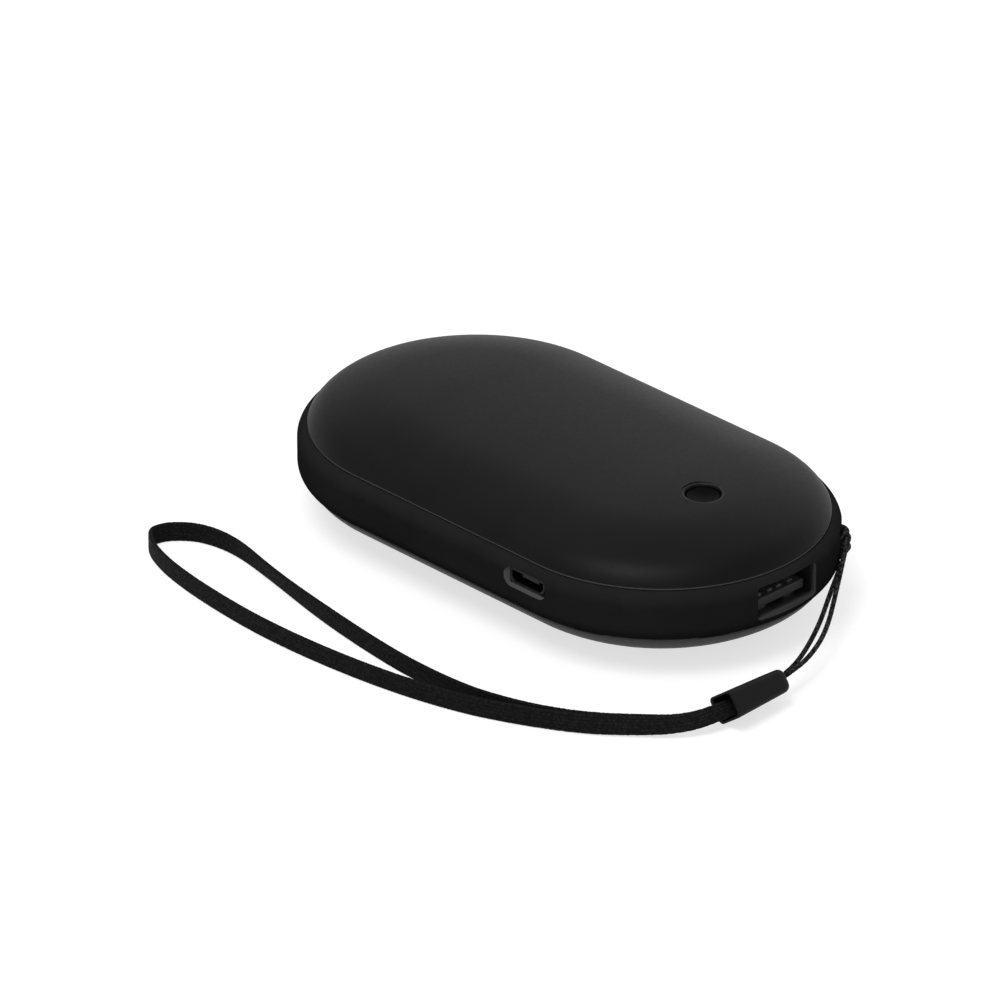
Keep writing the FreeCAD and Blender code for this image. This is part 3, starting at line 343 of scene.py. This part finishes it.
def between(tree, value, low, high):
    """One where a length lies between two limits, fading to nothing beyond them."""
    above = scaled(tree, value, 0, 1, low - LINE_FADE, low)
    below = scaled(tree, value, 1, 0, high, high + LINE_FADE)
    return combined(tree, "MULTIPLY", above, below)


def opaque(colour):
    """Colour with its alpha; a colour that comes from a node stays as it is."""
    return colour if isinstance(colour, bpy.types.NodeSocket) else (*colour, 1)


def mixed(tree, share, first, second):
    """Colour between two colours."""
    inputs = {MIX_SHARE: share, MIX_FIRST: opaque(first), MIX_SECOND: opaque(second)}
    return add_node(tree, "ShaderNodeMix", inputs, data_type="RGBA").outputs[MIX_RESULT]


def own_place(tree, stretch=(1, 1, 1)):
    """Place on the part itself, scaled along each axis."""
    place = add_node(tree, "ShaderNodeTexCoord").outputs["Object"]
    return add_node(tree, "ShaderNodeMapping", {"Vector": place, "Scale": stretch}).outputs[0]


def noise(tree, per_metre, stretch=(1, 1, 1), detail=3.0):
    """Cloudy share, from nothing to one, that stays with the part."""
    return add_node(tree, "ShaderNodeTexNoise", {
        "Vector": own_place(tree, stretch), "Scale": per_metre, "Detail": detail}).outputs["Fac"]


def seen_as_background(tree):
    """One for rays that look at the background, from the camera or by a mirror or glass."""
    path = add_node(tree, "ShaderNodeLightPath").outputs
    seen = path["Is Camera Ray"]
    for name in ("Is Glossy Ray", "Is Transmission Ray"):
        seen = combined(tree, "MAXIMUM", seen, path[name])
    return seen


# Camera, light and stage

def make_camera():
    """Camera at the photograph's viewing angle, aimed beside the middle of the case."""
    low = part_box("bottom_cover")[0]
    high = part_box("top_cover")[1]
    back = Vector((
        math.sin(VIEW_AZIMUTH) * math.cos(VIEW_ELEVATION),
        -math.cos(VIEW_AZIMUTH) * math.cos(VIEW_ELEVATION),
        math.sin(VIEW_ELEVATION),
    ))
    up = back.cross(VIEW_RIGHT)
    lens = bpy.data.cameras.new("camera")
    lens.lens = VIEW_LENS
    lens.clip_end = VIEW_REACH
    camera = link(bpy.data.objects.new("camera", lens))
    camera.location = (low + high) / 2 + back * VIEW_DISTANCE - VIEW_RIGHT * VIEW_LEFT - up * VIEW_DOWN
    camera.rotation_euler = (-back).to_track_quat("-Z", "Y").to_euler()
    bpy.context.scene.camera = camera


def make_world():
    """Plain soft light from all round, white at the horizon and dimmer overhead.

    Matt surfaces get more of it from the front and back than from the two sides.
    """
    world = bpy.data.worlds.new("studio")
    world.use_nodes = True
    bpy.context.scene.world = world
    tree = world.node_tree
    tree.nodes.clear()
    direction = add_node(tree, "ShaderNodeTexCoord").outputs["Generated"]
    height = add_node(tree, "ShaderNodeSeparateXYZ", {"Vector": direction}).outputs["Z"]
    strength = scaled(tree, height, WORLD_HORIZON, WORLD_ZENITH, 0.0, WORLD_ZENITH_FROM)
    aside = combined_vectors(tree, "DOT_PRODUCT", direction, VIEW_RIGHT)
    squared = combined(tree, "POWER", aside, 2.0)
    share = scaled(tree, squared, WORLD_FRONT_SHARE, WORLD_SIDE_SHARE, 0.0, 1.0)
    kept = scaled(tree, seen_as_background(tree), share, 1.0, 0.0, 1.0)
    light = add_node(tree, "ShaderNodeBackground", {
        "Color": (1, 1, 1, 1), "Strength": combined(tree, "MULTIPLY", strength, kept)})
    add_node(tree, "ShaderNodeOutputWorld", {"Surface": light.outputs[0]})


def make_floor():
    """Pale round floor that takes the shadow, and is clear from below."""
    mesh = bpy.data.meshes.new("floor")
    turns = np.linspace(0, 2 * math.pi, FLOOR_SIDES, endpoint=False)
    rim = [(FLOOR_RADIUS * math.cos(turn), FLOOR_RADIUS * math.sin(turn), 0) for turn in turns]
    mesh.from_pydata(rim, [], [tuple(range(FLOOR_SIDES))])
    material = bpy.data.materials.new("floor")
    material.use_nodes = True
    tree = material.node_tree
    tree.nodes.clear()
    matt = add_node(tree, "ShaderNodeBsdfDiffuse", {"Color": opaque(FLOOR_COLOUR)})
    glow = combined(tree, "MULTIPLY", seen_as_background(tree), FLOOR_GLOW)
    lit = add_node(tree, "ShaderNodeEmission", {"Strength": glow})
    pale = add_node(tree, "ShaderNodeAddShader", {0: matt.outputs[0], 1: lit.outputs[0]})
    clear = add_node(tree, "ShaderNodeBsdfTransparent")
    below = add_node(tree, "ShaderNodeNewGeometry").outputs["Backfacing"]
    both = add_node(tree, "ShaderNodeMixShader", {"Fac": below, 1: pale.outputs[0], 2: clear.outputs[0]})
    add_node(tree, "ShaderNodeOutputMaterial", {"Surface": both.outputs[0]})
    mesh.materials.append(material)
    floor = link(bpy.data.objects.new("floor", mesh))


def make_softbox(name, place, width, power):
    """Square area light aimed at the object."""
    lamp = bpy.data.lights.new(name, "AREA")
    lamp.energy = power
    lamp.size = width
    box = link(bpy.data.objects.new(name, lamp))
    box.location = place
    box.rotation_euler = Vector(place).to_track_quat("Z", "Y").to_euler()


# Finishes

def start_finish(name, values):
    """New material; values are the numbers and colours that are even all over the surface."""
    material = bpy.data.materials.new(name)
    material.use_nodes = True
    shader = material.node_tree.nodes["Principled BSDF"]
    for socket, value in values.items():
        shader.inputs[socket].default_value = value
    return material, material.node_tree, shader


def set_surface(tree, shader, colour, roughness, height, depth):
    """Link a finish's uneven colour and roughness, and a fine relief of a real depth."""
    tree.links.new(colour, shader.inputs["Base Color"])
    tree.links.new(roughness, shader.inputs["Roughness"])
    bump = add_node(tree, "ShaderNodeBump", {"Strength": 1.0, "Distance": depth, "Height": height})
    tree.links.new(bump.outputs[0], shader.inputs["Normal"])


def moulded(name, dark, pale, roughness, grain=6000, depth=0.000001, spread=0.02, **values):
    """Moulded plastic, rubber or resin: cloudy colour, uneven gloss and a fine grain."""
    material, tree, shader = start_finish(name, values)
    colour = mixed(tree, scaled(tree, noise(tree, CLOUDS_PER_METRE), 0, 1), dark, pale)
    patches = noise(tree, grain / GRAINS_PER_GLOSS_PATCH)
    gloss = scaled(tree, patches, roughness - spread, roughness + spread)
    set_surface(tree, shader, colour, gloss, noise(tree, grain), depth)
    return material


def paint_cover_light(material):
    """Paint the highlights as pale lines, and the painted shade of the dark lip, into the finish of the top cover.
    """
    tree = material.node_tree
    shader = tree.nodes["Principled BSDF"]
    colour = shader.inputs["Base Color"].links[0].from_socket
    place = add_node(tree, "ShaderNodeTexCoord").outputs["Object"]
    height = add_node(tree, "ShaderNodeSeparateXYZ", {"Vector": place}).outputs["Z"]
    low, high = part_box("power_button")
    aside = combined_vectors(tree, "SUBTRACT", place, (low + high) / 2)
    level = combined_vectors(tree, "MULTIPLY", aside, (1, 1, 0))
    distance = combined_vectors(tree, "LENGTH", level)
    # Painted highlight along the seam, painted shade on the lip, and painted highlight round the hole
    for share, tint in (
            (between(tree, height, *EDGE_HIGHLIGHT_BAND), EDGE_HIGHLIGHT_COLOUR),
            (between(tree, distance, 0.0, HOLE_HIGHLIGHT_BAND[0]), LIP_SHADE_COLOUR),
            (between(tree, distance, *HOLE_HIGHLIGHT_BAND), HOLE_HIGHLIGHT_COLOUR)):
        colour = mixed(tree, share, colour, tint)
    tree.links.new(colour, shader.inputs["Base Color"])


def plated(name, dark, pale, roughness, stretch=STREAK_STRETCH):
    """Plated or drawn metal with fine streaks along one axis."""
    material, tree, shader = start_finish(name, {"Metallic": 1.0})
    streak = noise(tree, STREAKS_PER_METRE, stretch)
    colour = mixed(tree, scaled(tree, streak, 0, 1), dark, pale)
    gloss = scaled(tree, streak, roughness - STREAK_SPREAD, roughness + STREAK_SPREAD)
    set_surface(tree, shader, colour, gloss, streak, STREAK_DEPTH)
    return material


def yarn(name, dark, pale):
    """Dull black yarn with a soft sheen, a painted highlight where it stands out, broken up along loose fibres,
    and painted shade in its hollows.
    """
    material, tree, shader = start_finish(name, YARN_SURFACE)
    fibre = noise(tree, FIBRES_PER_METRE, detail=FIBRE_DETAIL)
    standing = add_node(tree, "ShaderNodeAttribute", attribute_name="standing").outputs["Fac"]
    loose = scaled(tree, fibre, 0, 1, *FIBRE_SHARE)
    # Painted highlight where the yarn stands out, painted shade in its hollows
    colour = mixed(tree, combined(tree, "MULTIPLY", standing, loose), dark, pale)
    set_surface(tree, shader, colour, scaled(tree, fibre, *FIBRE_ROUGHNESS), fibre, FIBRE_DEPTH)
    return material


def laminate(name):
    """Green solder mask over copper tracks, with tinned pads."""
    material, tree, shader = start_finish(name, MASK_SURFACE)
    cells = add_node(tree, "ShaderNodeTexVoronoi", {
        "Vector": own_place(tree), "Scale": TRACKS_PER_METRE},
        distance="CHEBYCHEV", feature="DISTANCE_TO_EDGE")
    track = scaled(tree, cells.outputs["Distance"], 1, 0, *TRACK_EDGE)
    mask = mixed(tree, track, MASK_COLOUR, TRACK_COLOUR)
    spots = add_node(tree, "ShaderNodeTexVoronoi", {"Vector": own_place(tree), "Scale": PADS_PER_METRE})
    pad = scaled(tree, spots.outputs["Distance"], 1, 0, *PAD_EDGE)
    tree.links.new(pad, shader.inputs["Metallic"])
    gloss = scaled(tree, noise(tree, MASK_GRAIN), *MASK_ROUGHNESS)
    set_surface(tree, shader, mixed(tree, pad, mask, PAD_COLOUR), gloss, track, TRACK_DEPTH)
    return material


def heater_film(name):
    """Amber film with the heating track winding through it."""
    material, tree, shader = start_finish(name, FILM_SURFACE)
    wave = add_node(tree, "ShaderNodeTexWave", {
        "Vector": own_place(tree), "Scale": HEATER_SCALE, "Distortion": HEATER_WANDER}, bands_direction="X")
    track = scaled(tree, wave.outputs["Fac"], 0, 1, *HEATER_EDGE)
    gloss = scaled(tree, noise(tree, FILM_GRAIN), *FILM_ROUGHNESS)
    set_surface(tree, shader, mixed(tree, track, FILM_COLOUR, HEATER_COLOUR), gloss, track, HEATER_DEPTH)
    return material


def foil(name):
    """Crinkled laminated pouch foil."""
    material, tree, shader = start_finish(name, {"Metallic": FOIL_METALLIC})
    crease = noise(tree, *FOIL_CREASES)
    gloss = scaled(tree, crease, *FOIL_ROUGHNESS)
    set_surface(tree, shader, mixed(tree, crease, *FOIL_COLOURS), gloss, crease, FOIL_DEPTH)
    return material


def felt(name):
    """Pressed pale fibre."""
    material, tree, shader = start_finish(name, FELT_SURFACE)
    fibre = noise(tree, *FELT_FIBRES)
    gloss = scaled(tree, fibre, *FELT_ROUGHNESS)
    set_surface(tree, shader, mixed(tree, fibre, *FELT_COLOURS), gloss, fibre, FELT_DEPTH)
    return material


def make_finishes():
    """Finishes by name: one for each material slot, and those of surfaces that look unlike theirs, most of them
    paler copies with painted light.
    """
    made = {
        "board_laminate": laminate("board_laminate"),
        "film_polyimide": heater_film("film_polyimide"),
        "battery_foil": foil("battery_foil"),
        "insulation_pad": felt("insulation_pad"),
    }
    for name, (dark, pale, roughness, unusual) in MOULDED.items():
        made[name] = moulded(name, dark, pale, roughness, **unusual)
    for name, look in PLATED.items():
        made[name] = plated(name, *look)
    for name, colours in YARNS.items():
        made[name] = yarn(name, *colours)
    paint_cover_light(made["cover_plastic"])
    return made


# Solid parts

def finish_solids():
    """Give each solid part the finish of its material slot, or its own, which for the bottom cover is a paler copy
    with painted light from below.
    """
    for row in frame["record"]["subparts"]:
        part = nodes[row["node"]]
        part.data.materials.clear()
        part.data.materials.append(finishes[row["material_slot"]])
    for name, finish in OWN_FINISHES.items():
        nodes[name].data.materials[0] = finishes[finish]


def smooth_normals(corners):
    """Normal at each corner of a mesh's triangles: the mean of the faces there, apart from sharp edges."""
    to_next = unit(np.roll(corners, -1, axis=1) - corners)
    to_last = -np.roll(to_next, 1, axis=1)
    angle = np.arccos(np.clip((to_next * to_last).sum(axis=2), -1, 1)).ravel()
    normal = np.repeat(unit(np.cross(to_next[:, 0], to_last[:, 0])), corners.shape[1], axis=0)
    places = np.round(corners.reshape(-1, 3), PLACE_DECIMALS)
    point = np.unique(places, axis=0, return_inverse=True)[1].ravel()
    order = np.argsort(point, kind="stable")
    ends = np.flatnonzero(np.diff(point[order])) + 1
    shaded = np.empty_like(normal)
    for group in np.split(order, ends):
        around = normal[group]
        alike = around @ around.T > math.cos(SMOOTH_ANGLE)
        shaded[group] = unit(alike @ (around * angle[group, None]))
    return shaded


def smooth_shading():
    """Shade each solid part as the smooth surface that its faces stand for; no point is moved."""
    for part in nodes.values():
        mesh = part.data
        places = np.empty(len(mesh.vertices) * 3)
        mesh.vertices.foreach_get("co", places)
        faces = np.array([face.vertices[:] for face in mesh.polygons])
        shaded = smooth_normals(places.reshape(-1, 3)[faces])
        mesh.shade_smooth()
        mesh.normals_split_custom_set(shaded.tolist())


def paint_socket_wall_highlights():
    """Give the walls that the frame puts round each socket a paler copy of the frame plastic, a painted highlight.
    """
    mesh = nodes["middle_frame"].data
    for index, (mount, finish) in enumerate(SOCKET_WALL_HIGHLIGHTS.items(), start=1):
        mesh.materials.append(finishes[finish])
        for face in mesh.polygons:
            inward = mounts[mount] - face.center
            if inward.length < SOCKET_REACH and inward.normalized().dot(face.normal) > SOCKET_FACING:
                face.material_index = index


def paint_leaf_highlights():
    """Give the spring leaves of the output socket, which stand clear of its walls, a brighter copy of the shell's
    steel, a painted highlight.
    """
    mesh = nodes["usb_a_shell"].data
    mesh.materials.append(finishes["leaf_painted_highlight"])
    for face in mesh.polygons:
        depth, aside, upward = mounts[LEAF_SOCKET] - face.center
        if 0 < depth < LEAF_DEPTH and abs(aside) < LEAF_SPREAD and abs(upward) < LEAF_HEIGHT:
            face.material_index = 1


# Strap

def spline_line(name, points):
    """Places along one smooth spline that has these points as its control points."""
    curve = bpy.data.curves.new(name, "CURVE")
    curve.dimensions = "3D"
    curve.resolution_u = SPLINE_STEPS
    spline = curve.splines.new("NURBS")
    spline.points.add(len(points) - 1)
    for control, place in zip(spline.points, points):
        control.co = (*place, 1.0)
    spline.order_u = SPLINE_ORDER
    spline.use_endpoint_u = True
    holder = link(bpy.data.objects.new(name, curve))
    mesh = bpy.data.meshes.new_from_object(holder)
    line = np.array([vertex.co for vertex in mesh.vertices])
    bpy.data.objects.remove(holder)
    bpy.data.curves.remove(curve)
    bpy.data.meshes.remove(mesh)
    return line


def evenly(line, step):
    """The same line with places a step apart, and the distance along it at each."""
    along = np.concatenate(([0], np.cumsum(np.linalg.norm(np.diff(line, axis=0), axis=1))))
    at = np.linspace(0, along[-1], round(along[-1] / step) + 1)
    return np.column_stack([np.interp(at, along, line[:, axis]) for axis in range(3)]), at


def headings(line):
    """Directions along a line, at each of its places."""
    return unit(np.gradient(line, axis=0))


def carried_sideways(heading):
    """Directions square to a line, each carried on from the one before it, so that they don't spin."""
    sideways = [unit(np.cross(heading[0], UP))]
    for direction in heading[1:]:
        sideways.append(unit(sideways[-1] - direction * np.dot(sideways[-1], direction)))
    return np.array(sideways)


def skin(name, rings, relief_light_and_shade, slot):
    """Closed mesh through rings of points, capped at each end; how far each point stands out is painted as light
    and shade.
    """
    count, sides = rings.shape[:2]
    faces = [tuple(reversed(range(sides)))]
    for row in range(count - 1):
        first = row * sides
        for side in range(sides):
            after = (side + 1) % sides
            faces.append((first + side, first + after, first + sides + after, first + sides + side))
    faces.append(tuple(range((count - 1) * sides, count * sides)))
    mesh = bpy.data.meshes.new(name)
    mesh.from_pydata(rings.reshape(-1, 3).tolist(), [], faces)
    mesh.shade_smooth()
    standing = mesh.attributes.new("standing", "FLOAT", "POINT")
    standing.data.foreach_set("value", relief_light_and_shade.ravel())
    mesh.materials.append(finishes[slot])
    piece = link(bpy.data.objects.new(name, mesh))
    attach(piece, "strap")
    return piece


def braided(name, points, diameter, taper=None):
    """Round braided cord along a route, thinner towards its ends if it tapers, and its centre line."""
    line, along = evenly(spline_line(name, points), CORD_STEP)
    heading = headings(line)
    sideways = carried_sideways(heading)
    upward = np.cross(heading, sideways)
    turn = np.linspace(0, 2 * math.pi, CORD_SIDES, endpoint=False)
    round_cord = BRAID_YARNS / 2 * turn
    climb = math.pi * along[:, None] / BRAID_PITCH
    crossing = np.maximum(np.abs(np.cos(round_cord + climb)), np.abs(np.cos(round_cord - climb)))
    thickness = np.full(len(along), diameter)
    if taper:
        from_end = np.minimum(along, along[-1] - along)
        thickness = np.interp(from_end, (0, taper), (CORD_DIAMETER, diameter))
    radius = thickness[:, None] / 2 * (1 - BRAID_DEPTH * (1 - crossing))
    outward = sideways[:, None] * np.cos(turn)[:, None] + upward[:, None] * np.sin(turn)[:, None]
    rings = line[:, None] + outward * radius[:, :, None]
    # The crossings, to this power, are painted light on the yarn, and the hollows between them painted shade
    return skin(name, rings, crossing ** BRAID_SHADE, "cord"), line


def near_ferrule(along):
    """One inside the ferrule, fading to nothing where the webbing stands upright: start and end."""
    shares = []
    for run in (along, along[-1] - along):
        fade = (WEBBING_UPRIGHT_FROM - run) / (WEBBING_UPRIGHT_FROM - WEBBING_LEAN_END)
        shares.append(np.clip(fade, 0, 1)[:, None])
    return shares


def webbing_outline(along):
    """Half thickness of the webbing over its two faces: rounded edges, wales and slanting stitches.

    Also gives the places across it and how far each stitch stands out, which the yarn finish paints as light and
    shade.
    """
    across = np.linspace(-1, 1, WALES * WALE_SAMPLES + 1)
    place = (across + 1) / 2 * WALES
    wale = np.minimum(np.floor(place), WALES - 1)
    from_middle = np.abs(place - wale - 0.5)
    phase = along[:, None] / STITCH + from_middle + wale % 2 / 2
    bulge = np.cos(math.pi * from_middle)
    body = WEBBING_THICKNESS / 2 * (EDGE_SHARE + (1 - EDGE_SHARE) * np.sqrt(1 - across ** EDGE_ROUNDING))
    sunk = 0.5 - 0.5 * np.cos(2 * math.pi * phase)
    thickness = body - WALE_DEPTH * (1 - bulge) - STITCH_DEPTH * sunk * bulge
    return across, thickness, bulge ** 2 * (1 - STITCH_SHADE * sunk)


def make_webbing(points):
    """Webbing standing on its lower edge, and the line through its middle."""
    line, along = evenly(spline_line("wrist_webbing", points), WEBBING_STEP)
    aside = unit(np.cross(UP, headings(line)))
    start, end = near_ferrule(along)
    twist = TWIST * np.exp(-((along - TWIST_AT) / TWIST_REACH) ** 2)
    lean = WEBBING_LEAN * (end - start) + twist[:, None]
    width = WEBBING_WIDTH * (1 - WEBBING_PINCH * (start + end))
    width_way = aside * np.sin(lean) + UP * np.cos(lean)
    thick_way = aside * np.cos(lean) - UP * np.sin(lean)
    foot = line + UP * np.abs(thick_way[:, 2:]) * WEBBING_THICKNESS / 2
    middle = foot + width_way * width / 2
    across, thickness, standing = webbing_outline(along)
    spine = middle[:, None] + width_way[:, None] * (across * width / 2)[:, :, None]
    worn = np.abs(np.random.default_rng(FUZZ_SEED).normal(0, WEBBING_FUZZ, spine.shape[:2]))
    spine -= width_way[:, None] * (worn * across ** EDGE_WEAR)[:, :, None]
    reach = thick_way[:, None] * thickness[:, :, None]
    rings = np.concatenate((spine - reach, (spine + reach)[:, ::-1]), axis=1)
    # How far each stitch stands out, painted as light and shade on both faces
    standing = np.concatenate((standing, standing[:, ::-1]), axis=1)
    return skin("wrist_webbing", rings, standing, "webbing"), middle


def from_post(points):
    """Strap places, given from the lanyard post, as places in the frame of the case."""
    post = Vector((*lanyard_post[:2], 0))
    return [post + Vector(point) for point in points]


def knot_points():
    """Cow hitch: in from one cord, round the post below, out to the tip, round above and out again."""
    listed, radii, heights = np.array(KNOT_TURNS).T
    degrees = np.arange(listed[0], listed[-1], KNOT_STEP)
    turn = KNOT_FRONT + np.radians(degrees)
    radius = np.interp(degrees, listed, radii)
    height = np.interp(degrees, listed, heights)
    middle = lanyard_post[2] - KNOT_DROP
    below, above = (
        np.column_stack((radius * np.cos(turn), radius * np.sin(turn), middle + side * height)).tolist()
        for side in (-1, 1))
    return [INNER_CORD[0]] + below[:0:-1] + above + [OUTER_CORD[0]]


def make_strap():
    """Knot, two thin cords and the webbing, in the place of their solid parts."""
    knot, _ = braided("cord_knot", from_post(knot_points()), KNOT_DIAMETER, KNOT_TAPER)
    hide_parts("strap_knot")
    for side, route, length in (
            ("inner", INNER_CORD, INNER_CORD_LENGTH), ("outer", OUTER_CORD, OUTER_CORD_LENGTH)):
        cord, line = braided("thin_cord_" + side, from_post(route), CORD_DIAMETER)
        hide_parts("strap_cord_" + side)
    webbing, line = make_webbing(from_post(WEBBING))
    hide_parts("wrist_strap")


bpy.context.scene.view_settings.view_transform = "Standard"
make_camera()
make_world()
make_floor()
for softbox, look in SOFTBOXES.items():
    make_softbox(softbox, *look)
finishes = make_finishes()
finish_solids()
smooth_shading()
paint_socket_wall_highlights()
paint_leaf_highlights()
make_strap()
